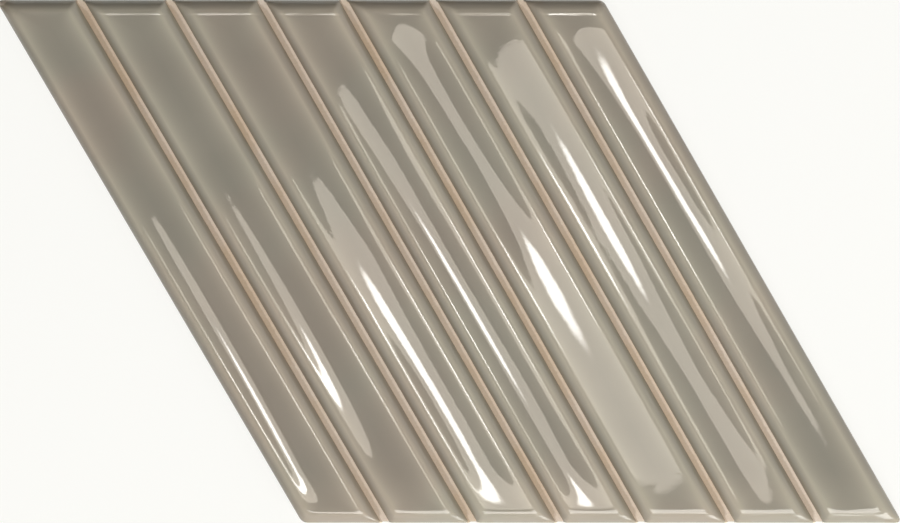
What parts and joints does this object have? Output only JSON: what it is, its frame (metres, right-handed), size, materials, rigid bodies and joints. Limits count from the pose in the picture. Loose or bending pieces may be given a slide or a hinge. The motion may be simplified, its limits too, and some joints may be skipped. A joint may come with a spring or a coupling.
{
  "type": "ceramic wall tile",
  "caption": "Rhombus wall tile of glazed clay, its face pressed into parallel slanted bars with rolled edges and parted by bare grooves for grout.",
  "frame": {"origin": "middle of the back, on the plane of the rim and ribs that rest on the wall", "axes": "+Z out of the glazed face; +X along the level sides, from the sharp corner at the upper left towards the right; +Y towards the upper level side, so the bars run from the upper left to the lower right"},
  "size_m": [0.2268, 0.1316, 0.009],
  "materials": {
    "glaze": "glossy warm grey glaze over the face and its rolled edges, with bare matt pinkish beige clay in the grooves, down the sides and on the back"
  },
  "bodies": {
    "root": {"wall_tile": "glaze"}
  },
  "joints": []
}
